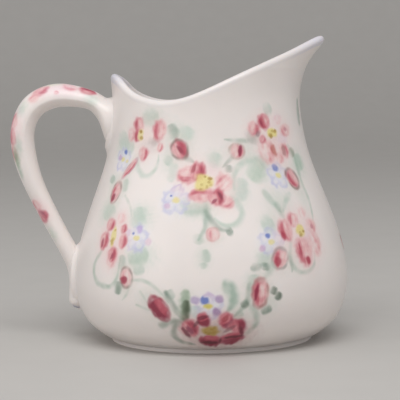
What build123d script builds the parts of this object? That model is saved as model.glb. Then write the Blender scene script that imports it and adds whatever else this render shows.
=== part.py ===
from build123d import *
import math
import os

os.makedirs("parts", exist_ok=True)

# ---------------------------------------------------------------------------
# Porcelain cream jug.  Millimetres, +Z up, +X toward the spout, -X toward the
# handle, origin at the centre of the foot ring on the table.
# ---------------------------------------------------------------------------

FOOT_HEIGHT = 2.6          # table to the crease under the bowl
FOOT_RADIUS = 31.4         # widest point of the foot ring
FOOT_INNER_RADIUS = 26.6   # inside edge of the foot ring
WALL = 2.5                 # wall thickness at the neck and rim
BOWL_WALL = 3.0            # wall thickness round the belly
FLOOR_TOP = 6.2            # inside floor above the table
RIM_OUTER_ROUND = 1.15     # rounding of the rim's outer edge
RIM_INNER_ROUND = 0.95     # rounding of the rim's inner edge
SECTION_POINTS = 28        # points round each horizontal section
TOP_STATION = 99.5         # the wall runs on to here before the rim is cut

# Outside of the wall: height, radius toward the spout, radius at the sides,
# radius toward the handle, and how much the sides pinch in toward the lip.
OUTSIDE = [
    (2.6, 31.2, 31.2, 31.2, 0.0),
    (3.3, 33.1, 33.1, 33.1, 0.0),
    (4.6, 35.2, 35.2, 35.2, 0.0),
    (6.8, 37.8, 37.8, 37.8, 0.0),
    (9.6, 39.9, 39.9, 39.9, 0.0),
    (13.5, 41.6, 41.6, 41.6, 0.0),
    (20.0, 42.6, 42.6, 42.6, 0.0),
    (27.0, 42.0, 42.0, 42.0, 0.0),
    (34.0, 40.3, 40.3, 40.4, 0.0),
    (42.0, 37.5, 37.6, 37.8, 0.0),
    (50.0, 34.3, 34.6, 34.9, 0.0),
    (58.0, 31.3, 31.8, 32.3, 0.01),
    (66.0, 29.3, 30.0, 30.9, 0.03),
    (72.0, 28.4, 29.2, 30.3, 0.06),
    (77.0, 28.2, 29.1, 30.1, 0.10),
    (81.5, 28.9, 29.5, 30.4, 0.15),
    (86.0, 30.4, 30.2, 30.9, 0.21),
    (90.0, 32.9, 31.2, 31.5, 0.27),
    (94.5, 36.7, 32.3, 32.2, 0.34),
    (TOP_STATION, 40.6, 33.6, 33.0, 0.40),
]

# Inside of the bowl below the belly: height and radius.
INSIDE_FLOOR = [
    (FLOOR_TOP, 23.5),
    (6.9, 29.0),
    (8.6, 33.2),
    (11.4, 36.6),
    (15.0, 38.8),
]

# The rim seen from the side: distance from the axis toward the spout, height.
RIM_LINE = [
    (-44.0, 85.6),
    (-33.0, 85.0),
    (-29.6, 84.5),
    (-27.2, 83.0),
    (-25.0, 80.6),
    (-22.0, 78.3),
    (-18.0, 76.7),
    (-13.3, 76.0),
    (-8.0, 76.7),
    (-1.5, 79.0),
    (7.8, 83.2),
    (17.7, 87.6),
    (25.0, 90.9),
    (31.0, 93.9),
    (34.4, 95.3),
    (38.0, 95.6),
    (46.0, 94.6),
]

# Handle from the neck over the arch: middle of the strap (x, z), lean of the
# strap from level in degrees, thickness seen from the side, depth across.
HANDLE_LINE = [
    (-27.5, 68.8, 0.0, 17.6, 15.0),
    (-31.4, 69.6, 2.0, 14.8, 13.2),
    (-33.2, 72.2, 8.0, 10.4, 11.6),
    (-35.0, 75.1, 16.0, 7.2, 10.3),
    (-38.0, 76.7, 15.0, 6.1, 9.5),
    (-44.6, 77.9, -1.0, 7.1, 9.4),
    (-50.1, 77.3, -18.0, 7.5, 9.4),
    (-54.6, 74.8, -43.0, 7.6, 9.4),
    (-57.4, 70.6, -66.0, 7.4, 9.2),
    (-58.5, 64.8, -88.0, 7.4, 9.0),
    (-57.4, 57.2, -104.0, 7.0, 8.7),
    (-54.7, 49.2, -111.0, 6.2, 8.3),
    (-50.4, 40.2, -117.0, 5.7, 7.9),
    (-46.2, 32.2, -116.0, 5.5, 7.7),
    (-42.8, 25.6, -105.0, 5.8, 8.2),
    (-41.6, 20.2, -92.0, 6.1, 9.0),
    (-41.5, 15.6, -90.0, 6.4, 9.6),
    (-41.2, 13.0, -88.0, 5.4, 8.4),
    (-41.0, 11.9, -88.0, 3.4, 6.0),
]

# Clay worked round the two ends of the handle: distance from the axis, height
# and width of the collar there.
UPPER_SLIP_Z = 68.3
UPPER_SLIP = [(27.0, 18.6, 17.6), (31.4, 17.6, 16.0), (32.5, 15.2, 13.6)]
LOWER_SLIP_Z = 19.6
LOWER_SLIP = [(37.0, 20.0, 13.0), (42.6, 18.2, 11.4), (43.5, 15.6, 9.6)]


def wall_section(front, side, back, pinch):
    """Points round one level of the wall, drawn out toward spout and handle."""
    dip = min(front - side, 0.0)
    lip = front - side - dip
    points = []
    for k in range(SECTION_POINTS):
        angle = math.radians(90 + 360 * k / SECTION_POINTS)
        ahead = (1 + math.cos(angle)) / 2
        behind = (1 - math.cos(angle)) / 2
        x = side * math.cos(angle) + dip * ahead**2 + lip * ahead**13
        x -= (back - side) * behind**2
        y = side * math.sin(angle) * (1 - pinch * ahead**4)
        points.append((x, y))
    return points


def inside_stations():
    """The cavity: the floor stations, then the wall moved in by its thickness."""
    stations = [(z, r, r, r, 0.0) for z, r in INSIDE_FLOOR]
    for k, (z, front, side, back, pinch) in enumerate(OUTSIDE):
        if z < 19:
            continue
        low = OUTSIDE[k - 1]
        high = OUTSIDE[min(k + 1, len(OUTSIDE) - 1)]
        rise = high[0] - low[0]
        share = min(max((z - 20.0) / 46.0, 0.0), 1.0)
        wall = BOWL_WALL + (WALL - BOWL_WALL) * share
        moved = []
        for value, a, b in zip((front, side, back), low[1:4], high[1:4]):
            moved.append(value - wall * math.hypot(1.0, (b - a) / rise))
        stations.append((z, moved[0], moved[1], moved[2], pinch))
    return stations


# --- the outside of the cast wall, still closed at the top -------------------
with BuildPart() as envelope:
    for z, front, side, back, pinch in OUTSIDE:
        with BuildSketch(Plane.XY.offset(z)):
            with BuildLine():
                Spline(wall_section(front, side, back, pinch), periodic=True)
            make_face()
    loft()

# --- the cast wall: bowl, neck, handle horn and spout in one piece ----------
with BuildPart() as body:
    add(envelope.part)
    for z, front, side, back, pinch in inside_stations():
        with BuildSketch(Plane.XY.offset(z)):
            with BuildLine():
                Spline(wall_section(front, side, back, pinch), periodic=True)
            make_face()
    loft(mode=Mode.SUBTRACT)
    with BuildSketch(Plane.XZ.offset(-60)):
        with BuildLine():
            Spline(RIM_LINE)
            Polyline(RIM_LINE[-1], (46, 120), (-44, 120), RIM_LINE[0])
        make_face()
    extrude(amount=120, mode=Mode.SUBTRACT)

    rim = sorted(edges(), key=lambda e: e.bounding_box().max.Z * 10 + e.length)
    fillet(rim[-1], RIM_OUTER_ROUND)
    rim = [e for e in edges() if e.bounding_box().max.Z > 90]
    fillet(min(rim, key=lambda e: e.length), RIM_INNER_ROUND)

# --- the ring it stands on ---------------------------------------------------
with BuildPart() as foot_ring:
    with BuildSketch(Plane.XZ):
        with BuildLine():
            Line((FOOT_INNER_RADIUS, FOOT_HEIGHT), (FOOT_RADIUS - 0.2, FOOT_HEIGHT))
            Spline(
                (FOOT_RADIUS - 0.2, FOOT_HEIGHT),
                (FOOT_RADIUS, 1.3),
                (FOOT_RADIUS - 1.1, 0.0),
                tangents=[(0.1, -1), (-1, 0)],
            )
            Line((FOOT_RADIUS - 1.1, 0.0), (FOOT_INNER_RADIUS + 1.8, 0.0))
            Spline(
                (FOOT_INNER_RADIUS + 1.8, 0.0),
                (FOOT_INNER_RADIUS + 0.7, 0.8),
                (FOOT_INNER_RADIUS, FOOT_HEIGHT),
                tangents=[(-1, 0), (-0.2, 1)],
            )
        make_face()
    revolve(axis=Axis.Z)

# --- the handle: a strap of oval section, butted against the wall ------------
with BuildPart() as handle:
    for x, z, lean, thick, depth in HANDLE_LINE:
        along = Vector(-1, 0, 0).rotate(Axis.Y, lean)
        with BuildSketch(Plane(origin=(x, 0, z), x_dir=(0, 1, 0), z_dir=along)):
            Ellipse(depth / 2, thick / 2)
    loft()
    add(envelope.part, mode=Mode.SUBTRACT)

# --- the collar of slip round the handle's root on the neck ------------------
with BuildPart() as upper_joint_slip:
    for out, height, width in UPPER_SLIP:
        with BuildSketch(Plane(origin=(-out, 0, UPPER_SLIP_Z), x_dir=(0, 1, 0), z_dir=(-1, 0, 0))):
            Ellipse(width / 2, height / 2)
    loft()
    add(envelope.part, mode=Mode.SUBTRACT)
    add(handle.part, mode=Mode.SUBTRACT)

# --- the bead of slip round the handle's tail on the belly -------------------
with BuildPart() as lower_joint_slip:
    for out, height, width in LOWER_SLIP:
        with BuildSketch(Plane(origin=(-out, 0, LOWER_SLIP_Z), x_dir=(0, 1, 0), z_dir=(-1, 0, 0))):
            Ellipse(width / 2, height / 2)
    loft()
    add(envelope.part, mode=Mode.SUBTRACT)
    add(handle.part, mode=Mode.SUBTRACT)

body.part.label = "body"
foot_ring.part.label = "foot_ring"
handle.part.label = "handle"
upper_joint_slip.part.label = "upper_joint_slip"
lower_joint_slip.part.label = "lower_joint_slip"

export_step(body.part, "parts/body.step")
export_step(foot_ring.part, "parts/foot_ring.step")
export_step(handle.part, "parts/handle.step")
export_step(upper_joint_slip.part, "parts/upper_joint_slip.step")
export_step(lower_joint_slip.part, "parts/lower_joint_slip.step")
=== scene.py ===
import math

import bpy
import numpy as np
from mathutils import Matrix, Vector


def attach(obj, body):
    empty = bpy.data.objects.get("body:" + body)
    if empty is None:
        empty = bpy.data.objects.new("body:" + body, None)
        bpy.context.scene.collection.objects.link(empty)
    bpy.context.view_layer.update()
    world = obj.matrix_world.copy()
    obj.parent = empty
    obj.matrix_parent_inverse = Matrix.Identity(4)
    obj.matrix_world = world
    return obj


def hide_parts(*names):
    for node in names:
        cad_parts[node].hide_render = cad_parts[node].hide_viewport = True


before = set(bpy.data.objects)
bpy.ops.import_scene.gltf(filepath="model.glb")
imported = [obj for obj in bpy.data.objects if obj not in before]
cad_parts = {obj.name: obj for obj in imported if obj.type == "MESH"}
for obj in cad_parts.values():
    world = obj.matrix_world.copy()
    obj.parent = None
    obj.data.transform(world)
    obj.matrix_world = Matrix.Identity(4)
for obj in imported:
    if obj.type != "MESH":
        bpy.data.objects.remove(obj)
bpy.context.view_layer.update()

# ---------------------------------------------------------------------------
# A cream jug of slip-cast porcelain: a thin glazed wall with painted sprigs, a
# turned foot ring, a strap handle, and slip worked round the handle's ends.
# Lengths below are in millimetres and are turned to metres where meshes are
# made.  +X is toward the spout, -X toward the handle, +Z is up.
# ---------------------------------------------------------------------------
MM = 0.001
FOOT_HEIGHT = 2.6        # where the foot ring meets the wall
INSIDE_FLOOR = 5.9       # height of the floor inside
INSIDE_START = 3.3       # height on the outside that the inside's lowest row lies behind
BELLY_WALL = 3.0         # thickness of the wall at the belly
WALL_THINS_BY = 0.5      # and how much of it is gone near the rim
RIM_ROUND = 1.5          # how far the rounded rim stands over the wall's top
LIP_SHARPNESS = 13       # the higher, the narrower the lip drawn out toward the spout
PINCH_REACH = 4          # the higher, the nearer the lip the sides are pinched in
ROUND_STEPS = 800        # columns of the painted wall
WALL_ROWS = 290          # rows up its outside
RIM_ROWS = 14            # steps over its rim
INSIDE_ROWS = 44         # rows down its inside

# Outside of the wall: height, radius toward the spout, at the sides and toward
# the handle, and how much the sides pinch in toward the lip.
OUTSIDE = [
    (2.6, 31.2, 31.2, 31.2, 0.0),
    (3.3, 33.1, 33.1, 33.1, 0.0),
    (4.6, 35.2, 35.2, 35.2, 0.0),
    (6.8, 37.8, 37.8, 37.8, 0.0),
    (9.6, 39.9, 39.9, 39.9, 0.0),
    (13.5, 41.6, 41.6, 41.6, 0.0),
    (20.0, 42.6, 42.6, 42.6, 0.0),
    (27.0, 42.0, 42.0, 42.0, 0.0),
    (34.0, 40.3, 40.3, 40.4, 0.0),
    (42.0, 37.5, 37.6, 37.8, 0.0),
    (50.0, 34.3, 34.6, 34.9, 0.0),
    (58.0, 31.3, 31.8, 32.3, 0.01),
    (66.0, 29.3, 30.0, 30.9, 0.03),
    (72.0, 28.4, 29.2, 30.3, 0.06),
    (77.0, 28.2, 29.1, 30.1, 0.10),
    (81.5, 28.9, 29.5, 30.4, 0.15),
    (86.0, 30.4, 30.2, 30.9, 0.21),
    (90.0, 32.9, 31.2, 31.5, 0.27),
    (94.5, 36.7, 32.3, 32.2, 0.34),
    (99.5, 40.6, 33.6, 33.0, 0.40),
]

# The rim seen from the side: distance from the axis toward the spout, height.
RIM_LINE = [
    (-44.0, 85.6), (-33.0, 85.0), (-29.6, 84.5), (-27.2, 83.0), (-25.0, 80.6),
    (-22.0, 78.3), (-18.0, 76.7), (-13.3, 76.0), (-8.0, 76.7), (-1.5, 79.0),
    (7.8, 83.2), (17.7, 87.6), (25.0, 90.9), (31.0, 93.9), (34.4, 95.3),
    (38.0, 95.6), (46.0, 94.6),
]

# The foot, from its inner top corner down, under and up again: radius, height.
FOOT_PROFILE = [
    (26.6, 2.6), (26.75, 1.9), (27.1, 1.1), (27.6, 0.45), (28.2, 0.08), (28.6, 0.0), (29.4, 0.0),
    (30.0, 0.0), (30.4, 0.06), (30.9, 0.35), (31.25, 0.8), (31.4, 1.3), (31.35, 1.9), (31.2, 2.6),
]
FOOT_STEPS = 256

# The handle: middle of the strap (x, z), its lean from level in degrees, its
# thickness seen from the side, its depth across.
HANDLE_LINE = [
    (-27.5, 68.8, 0.0, 17.6, 15.0),
    (-31.4, 69.6, 2.0, 14.8, 13.2),
    (-33.2, 72.6, 8.0, 9.4, 11.6),
    (-35.0, 75.0, 15.0, 6.7, 10.3),
    (-38.0, 76.7, 15.0, 6.1, 9.5),
    (-44.6, 77.9, -1.0, 7.1, 9.4),
    (-50.1, 77.3, -18.0, 7.5, 9.4),
    (-54.6, 74.8, -43.0, 7.6, 9.4),
    (-57.4, 70.6, -66.0, 7.4, 9.2),
    (-58.5, 64.8, -88.0, 7.4, 9.0),
    (-57.4, 57.2, -104.0, 7.0, 8.7),
    (-54.7, 49.2, -111.0, 6.2, 8.3),
    (-50.4, 40.2, -117.0, 5.7, 7.9),
    (-46.2, 32.2, -116.0, 5.5, 7.7),
    (-42.8, 25.6, -105.0, 5.8, 8.2),
    (-41.6, 20.2, -92.0, 6.1, 9.0),
    (-41.6, 15.8, -90.0, 6.3, 9.8),
    (-41.6, 13.2, -90.0, 6.3, 9.2),
    (-41.4, 12.0, -88.0, 4.8, 7.0),
]
SIDE_RIDGE = 0.30        # share of half its thickness that its widest line lies inward
INSIDE_FLATNESS = 0.62   # the lower, the flatter the strap's inside
HANDLE_SINKS = 1.2       # how deep the handle's ends go into the wall, at most
STRAP_COLUMNS = 96
STRAP_ROWS = 420

# The slip at the handle's ends.
SLIP_RINGS = 26
SLIP_STEPS = 160
SLIP_LEVEL = 0.3         # share of its rings that stand level, under the handle
SLIP_SINKS = 0.12        # how far its thin edge goes into the wall


# ---------------------------------------------------------------------------
# Shapes
# ---------------------------------------------------------------------------
def smooth_line(xs, ys):
    """A fair curve through the points, as a drawn profile has."""
    xs, ys = np.array(xs, float), np.array(ys, float)
    n, h = len(xs), np.diff(xs)
    rows, right = np.eye(n), np.zeros(n)
    for i in range(1, n - 1):
        rows[i, i - 1 : i + 2] = h[i - 1], 2 * (h[i - 1] + h[i]), h[i]
        right[i] = 6 * ((ys[i + 1] - ys[i]) / h[i] - (ys[i] - ys[i - 1]) / h[i - 1])
    bend = np.linalg.solve(rows, right)

    def at(x):
        x = np.clip(x, xs[0], xs[-1])
        i = np.clip(np.searchsorted(xs, x) - 1, 0, n - 2)
        t, u = x - xs[i], xs[i + 1] - x
        curve = (bend[i] * u**3 + bend[i + 1] * t**3) / (6 * h[i])
        start = (ys[i] / h[i] - bend[i] * h[i] / 6) * u
        return curve + start + (ys[i + 1] / h[i] - bend[i + 1] * h[i] / 6) * t

    return at


heights = [row[0] for row in OUTSIDE]
toward_spout = smooth_line(heights, [row[1] for row in OUTSIDE])
at_sides = smooth_line(heights, [row[2] for row in OUTSIDE])
toward_handle = smooth_line(heights, [row[3] for row in OUTSIDE])
lip_pinch = smooth_line(heights, [row[4] for row in OUTSIDE])
rim_height = smooth_line([p[0] for p in RIM_LINE], [p[1] for p in RIM_LINE])


def wall_point(angle, z):
    """A point of the wall's outside; angle 0 is the spout, pi the handle."""
    side = at_sides(z)
    dip = np.minimum(toward_spout(z) - side, 0.0)
    lip = toward_spout(z) - side - dip
    ahead = (1 + np.cos(angle)) / 2
    behind = (1 - np.cos(angle)) / 2
    x = side * np.cos(angle) + dip * ahead**2 + lip * ahead**LIP_SHARPNESS
    x = x - (toward_handle(z) - side) * behind**2
    y = side * np.sin(angle) * (1 - np.clip(lip_pinch(z), 0, 1) * ahead**PINCH_REACH)
    return np.stack([x, y, z + 0 * x], -1)


def unit(v):
    return v / np.linalg.norm(v, axis=-1, keepdims=True)


def wall_normal(angle, z):
    """Outward normal and the direction up the wall."""
    across = wall_point(angle + 0.002, z) - wall_point(angle - 0.002, z)
    up = unit(wall_point(angle, z + 0.02) - wall_point(angle, z - 0.02))
    return unit(np.cross(across, up)), up


def wall_thickness(z):
    """Thins evenly from the belly, 20 mm up, to 66 mm up."""
    return BELLY_WALL - WALL_THINS_BY * np.clip((z - 20.0) / 46.0, 0, 1)


def angle_by_handle(y, z):
    """Where on the wall's handle side a point lies that is y off the middle, z up."""
    return math.pi - np.arcsin(np.clip(y / at_sides(z), -0.99, 0.99))


def wall_top(angle):
    """Height at which the wall begins to round over into the rim, found by halving."""
    low, high = np.full(angle.shape, 60.0), np.full(angle.shape, 99.0)
    for _ in range(40):
        z = (low + high) / 2
        out, up = wall_normal(angle, z)
        half = wall_thickness(z)[..., None] / 2
        middle = wall_point(angle, z) - out * half
        crest = np.hypot(half[..., 0] * out[..., 2], RIM_ROUND * up[..., 2])
        above = middle[..., 2] + crest > rim_height(middle[..., 0])
        low, high = np.where(above, low, z), np.where(above, z, high)
    return (low + high) / 2


def add_mesh(name, points, faces, uv=None, wrap=None):
    """A smooth-shaded mesh from points in millimetres and four-sided faces."""
    mesh = bpy.data.meshes.new(name)
    faces = np.asarray(faces, np.int32)
    mesh.vertices.add(len(points))
    mesh.vertices.foreach_set("co", (np.asarray(points, np.float32) * MM).ravel())
    mesh.loops.add(faces.size)
    mesh.loops.foreach_set("vertex_index", faces.ravel())
    mesh.polygons.add(len(faces))
    starts = np.arange(0, faces.size, faces.shape[1], dtype=np.int32)
    mesh.polygons.foreach_set("loop_start", starts)
    mesh.polygons.foreach_set("use_smooth", np.ones(len(faces), bool))
    mesh.update(calc_edges=True)
    if uv is not None:
        layer = mesh.uv_layers.new(name="OFBake")
        layer.data.foreach_set("uv", np.asarray(uv, np.float32).ravel())
    mesh.validate()
    piece = bpy.data.objects.new(name, mesh)
    bpy.context.scene.collection.objects.link(piece)
    return piece


def tube_faces(rows, columns):
    """Faces of a grid that closes on itself round its columns."""
    r, c = np.meshgrid(np.arange(rows - 1), np.arange(columns), indexing="ij")
    after = (c + 1) % columns
    quads = [r * columns + c, r * columns + after, (r + 1) * columns + after, (r + 1) * columns + c]
    return np.stack(quads, -1).reshape(-1, 4)


def tube_uv(rows, columns, lengths):
    """Flat layout of such a grid: round it across, and along it up."""
    r, c = np.meshgrid(np.arange(rows - 1), np.arange(columns), indexing="ij")
    v = 0.004 + 0.992 * np.asarray(lengths) / lengths[-1]
    u0, u1 = 0.002 + 0.996 * c / columns, 0.002 + 0.996 * (c + 1) / columns
    corners = [(u0, v[r]), (u1, v[r]), (u1, v[r + 1]), (u0, v[r + 1])]
    return np.stack([np.stack(k, -1) for k in corners], 2).reshape(-1, 2)


# ---------------------------------------------------------------------------
# Colours and painting
# ---------------------------------------------------------------------------
def srgb(code):
    """A hex colour as three numbers from 0 to 1, still as the eye reads them."""
    return np.array([int(code[i : i + 2], 16) for i in (1, 3, 5)]) / 255


def linear(colour):
    """The one place where colours are turned to linear light."""
    c = srgb(colour) if isinstance(colour, str) else np.asarray(colour, float)
    return np.where(c <= 0.04045, c / 12.92, ((c + 0.055) / 1.055) ** 2.4)


GLAZE_WHITE = "#F0E8E4"      # white body under clear glaze, a little warm
BARE_BISCUIT = "#D9CFC1"     # the same clay with no glaze
ROSE_DARK = "#8E2A41"
PETAL_SHADES = ["#F3DEDB", "#E9B4B4", "#D27B85", "#B84A5C", ROSE_DARK]
PETAL_HALO = "#F2D6D4"       # rose thinned with water, round every petal
SEPAL_BROWN = "#77615A"
GREEN_MIST = "#C3D3C6"       # green thinned with water, the ground of every sprig
PALE_SAGE = "#A9C2B2"
SAGE = "#9DB5A4"
MID_SAGE = "#8FA898"
DEEP_SAGE = "#6F8978"
DARK_LEAF = "#5F7868"
DARKEST_LEAF = "#465848"
STAMEN_YELLOW = "#EADB8C"
STAMEN_OCHRE = "#A8853B"
BLUE_FLOWER_HALO = "#ECEDF6"
BLUE_FLOWER_EDGE = "#BDBEE2"
BLUE_FLOWER_DAB = "#6B7FC4"
BLUE_FLOWER_LILAC = "#C6B0D4"
RIM_LAVENDER = "#C9CBE2"
# bluish grey for the painted shade under the handle's tail
TAIL_END_SHADE = "#6F789C"
TABLE_PALE = "#C6C3BF"
TABLE_SHADE = "#C1BEBA"


def grain(u, v, size, seed):
    """Soft unevenness of a brush load, about -1 to 1, with lumps of this size."""
    turn = np.random.default_rng(seed)
    total = 0
    for _ in range(7):
        heading, shift = turn.uniform(0, math.pi), turn.uniform(0, 2 * math.pi)
        wave = 2 * math.pi / (size * turn.uniform(0.7, 1.6))
        total = total + np.sin(wave * (u * math.cos(heading) + v * math.sin(heading)) + shift)
    return total / 3.2


def fade(value, full, none):
    """1 at full, 0 at none, with a soft shoulder between."""
    t = np.clip((value - none) / (full - none), 0, 1)
    return t * t * (3 - 2 * t)


class PaintedFace:
    """One side of the glazed surface, laid out so that strokes can be put on it.

    place is measured round the jug in degrees from the middle of the side, more
    toward the spout; height is in millimetres.  Stroke sizes are millimetres.
    seed goes up by one with each stroke, so that no two have the same grain, and
    shift moves every stroke by so many degrees and millimetres.
    """

    def __init__(self, place, height, radius, colour, load, seed, shift=(0.0, 0.0)):
        self.place, self.height, self.radius = place, height, radius
        self.colour, self.load = colour, load
        self.seed, self.shift = seed, shift

    def near(self, place, height, reach, tilt=0.0):
        """Points within reach, with their distance along and across the stroke."""
        place, height = place + self.shift[0], height + self.shift[1]
        self.seed += 1
        scale = self.radius(height) * math.pi / 180
        turned = (self.place - place + 180) % 360 - 180
        found = np.nonzero((np.abs(turned * scale) < reach) & (np.abs(self.height - height) < reach))[0]
        u, v = turned[found] * scale, self.height[found] - height
        c, s = math.cos(math.radians(tilt)), math.sin(math.radians(tilt))
        return found, u * s + v * c, u * c - v * s

    def lay(self, found, colour, cover):
        """Lays a translucent wash of colour over what is there."""
        cover = np.clip(cover, 0, 1)[:, None]
        self.colour[found] = self.colour[found] * (1 - cover) + colour * cover
        self.load[found] = np.maximum(self.load[found], cover[:, 0])

    def dab(self, place, height, wide, tall, colour, strength, tilt=0.0, soft=0.45):
        """One touch of colour; soft is how much of it is edge."""
        found, p, q = self.near(place, height, max(wide, tall) * 0.95, tilt)
        edge = np.hypot(p / (tall / 2), q / (wide / 2)) + 0.12 * grain(p, q, 1.6, self.seed)
        self.lay(found, srgb(colour), strength * fade(edge, 1 - soft, 1 + soft * 0.6))

    def wash(self, place, height, wide, tall, colour, strength, tilt=0.0):
        """Colour thinned with water, with no edge at all."""
        self.dab(place, height, wide, tall, colour, strength, tilt, 1.0)

    def petal(self, place, height, wide, tall, tone, tilt=0.0, side=0):
        """One press of a loaded brush: rose all over, a dark pull down one side, a
        pale wipe down the other, and the streaks of the hairs.  side says which side
        is dark; at 0 it falls as it may."""
        self.wash(place, height, wide * 1.5, tall * 1.45, PETAL_HALO, 0.42, tilt)
        found, p, q = self.near(place, height, max(wide, tall) * 0.85, tilt)
        side = side or (1 if np.random.default_rng(self.seed).random() < 0.5 else -1)
        along = p / (tall / 2)
        lumps = grain(p, q, 2.1, self.seed)
        edge = np.hypot(along, q / (wide / 2 * (1 + 0.15 * along))) + 0.10 * lumps
        across, bow = side * q / (wide / 2), 1 - along**2
        pull = fade(np.abs(across - 0.50 * bow), 0.02, 0.42) * fade(np.abs(along + 0.1), 0.3, 1.05)
        # the wipe needs room, so a small petal hardly has one
        wipe = fade(np.abs(across + 0.22 * bow), 0.0, 0.48) * fade(np.abs(along - 0.1), 0.2, 0.85)
        wipe = wipe * np.clip((min(wide, tall) - 2) / 3, 0.1, 1)
        wipe = wipe * np.clip(0.7 + 0.5 * grain(p, q, 4.2, self.seed + 80), 0.2, 1)
        # a wet edge dries darker, here and there
        outline = fade(np.abs(edge - 0.92), 0.0, 0.26)
        outline = outline * np.clip(0.5 + 0.6 * grain(p, q, 3.0, self.seed + 40), 0, 1)
        streak = grain(p * 0.2, q, 0.9, self.seed + 500)
        shade = tone * (0.66 + 0.22 * across + 0.38 * pull + 0.12 * outline) - 0.20 * wipe + 0.05 * streak
        shade = np.clip(shade + 0.05 * lumps, 0, 1)
        ramp = np.array([srgb(code) for code in PETAL_SHADES])
        steps = np.linspace(0, 1, len(PETAL_SHADES))
        colour = np.stack([np.interp(shade, steps, ramp[:, k]) for k in range(3)], -1)
        thick = 0.56 + 0.44 * np.clip(shade * 2, 0, 1)
        self.lay(found, colour, 0.96 * thick * fade(edge, 0.66, 1.26))

    def bud(self, place, height, wide, tall, tone, tilt, sepals=DARK_LEAF, side=0):
        """A closed bud: a broken dark line of sepals round a petal."""
        found, p, q = self.near(place, height, max(wide, tall) * 0.9, tilt)
        edge = np.hypot(p / (tall / 2), q / (wide / 2)) + 0.05 * grain(p, q, 3.2, self.seed)
        broken = np.clip(0.62 + 0.5 * grain(p, q, 3.4, self.seed + 9), 0, 1)
        line = broken * fade(np.abs(edge - 1.0), 0.02, 0.26)
        self.wash(place, height, wide * 1.7, tall * 1.5, GREEN_MIST, 0.35, tilt)
        self.petal(place, height, wide, tall, tone, tilt, side)
        self.lay(found, srgb(sepals), 0.55 * line)

    def leaf(self, place, height, wide, tall, colour, strength, tilt):
        """A leaf in one soft press of the brush, denser down one side."""
        found, p, q = self.near(place, height, max(wide, tall) * 0.85, tilt)
        along = np.clip(1.1 - (p / (tall / 2)) ** 2, 0, 1.1)
        edge = np.abs(q) / (wide / 2 * np.sqrt(along) + 0.15) + 0.14 * grain(p, q, 2.2, self.seed)
        dense = 0.78 + 0.22 * np.clip(q / (wide / 2), -1, 1) + 0.07 * grain(p, q, 1.7, self.seed + 60)
        self.lay(found, srgb(colour), 0.84 * strength * dense * fade(edge, 0.3, 1.6) * fade(along, 0.5, 0.0))

    def vine(self, path, width, colour, strength):
        """A stem or curl drawn in one pull of a long-haired brush, thinner at its ends."""
        path = np.array(path, float)
        steps = np.arange(len(path))
        fine = np.linspace(0, len(path) - 1, 14 * len(path))
        places = smooth_line(steps, path[:, 0])(fine)
        levels = smooth_line(steps, path[:, 1])(fine)
        middle = len(fine) // 2
        scale = self.radius(levels[middle]) * math.pi / 180
        span = max(np.ptp(places) * scale, np.ptp(levels)) + 3 * width
        found, v, u = self.near(places[middle], levels[middle], span)
        du = (places - places[middle]) * scale
        dv = levels - levels[middle]
        gap = np.hypot(u[:, None] - du[None], v[:, None] - dv[None])
        t = gap.argmin(1) / (len(fine) - 1)
        press = width / 2 * (1 - 0.4 * np.abs(2 * t - 0.7) ** 2)
        press = press * (1 + 0.16 * grain(u, v, 4.0, self.seed))
        dense = 0.8 + 0.24 * grain(u, v, 3.0, self.seed + 30)
        self.lay(found, srgb(colour), 0.86 * strength * dense * fade(gap.min(1) / press, 0.15, 1.7))

    def stamens(self, place, height, wide, tall, dots, yellow):
        """The ragged yellow eye of a rose, with ochre dots touched in at random."""
        scale = self.radius(height) * math.pi / 180
        found, p, q = self.near(place, height, max(wide, tall) * 0.95)
        edge = np.hypot(p / (tall / 2), q / (wide / 2)) + 0.15 * grain(p, q, 2.8, self.seed)
        self.lay(found, srgb(yellow), 0.9 * fade(edge, 0.66, 1.24))
        turn = np.random.default_rng(self.seed)
        for _ in range(dots):
            heading = turn.uniform(-1.6, 2.6)
            out = turn.uniform(0.16, 0.44)
            u, v = out * wide * math.cos(heading), -out * tall * math.sin(heading)
            dot = turn.uniform(0.6, 1.2)
            self.dab(place + u / scale, height + v, dot * 1.3, dot, STAMEN_OCHRE, turn.uniform(0.25, 0.7))

    def forget_me_not(self, place, height, size, dab_at, dab_size):
        """A small blue flower: five pale lobes, dense at their outer edge, one strong dab."""
        scale = self.radius(height) * math.pi / 180
        turn = np.random.default_rng(self.seed + 7)
        self.wash(place, height, size * 1.1, size * 1.1, BLUE_FLOWER_HALO, 0.6)
        for k in range(5):
            heading = 2 * math.pi * (k + 0.2 + turn.uniform(-0.1, 0.1)) / 5
            u, v = 0.30 * size * math.cos(heading), 0.30 * size * math.sin(heading)
            lobe = size * turn.uniform(0.42, 0.54)
            found, p, q = self.near(place + u / scale, height + v, lobe)
            edge = np.hypot(p, q) / (lobe / 2) + 0.16 * grain(p, q, 1.8, self.seed)
            outward = (p * math.sin(heading) + q * math.cos(heading)) / (lobe / 2)
            loop = fade(np.abs(edge - 0.78), 0.0, 0.55) * np.clip(0.40 + 0.50 * outward, 0.05, 1)
            body = 0.18 * fade(edge, 0.7, 1.1)
            tint = BLUE_FLOWER_LILAC if k == int(turn.integers(5)) else BLUE_FLOWER_EDGE
            self.lay(found, srgb(tint), 0.7 * turn.uniform(0.55, 1.0) * (loop + body))
        self.dab(place, height, size * 0.30, size * 0.22, STAMEN_YELLOW, 0.75)
        aside, above = dab_at
        self.dab(place + aside / scale, height + above,
                 dab_size * 1.15, dab_size, BLUE_FLOWER_DAB, 0.9, 20, 0.4)


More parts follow.
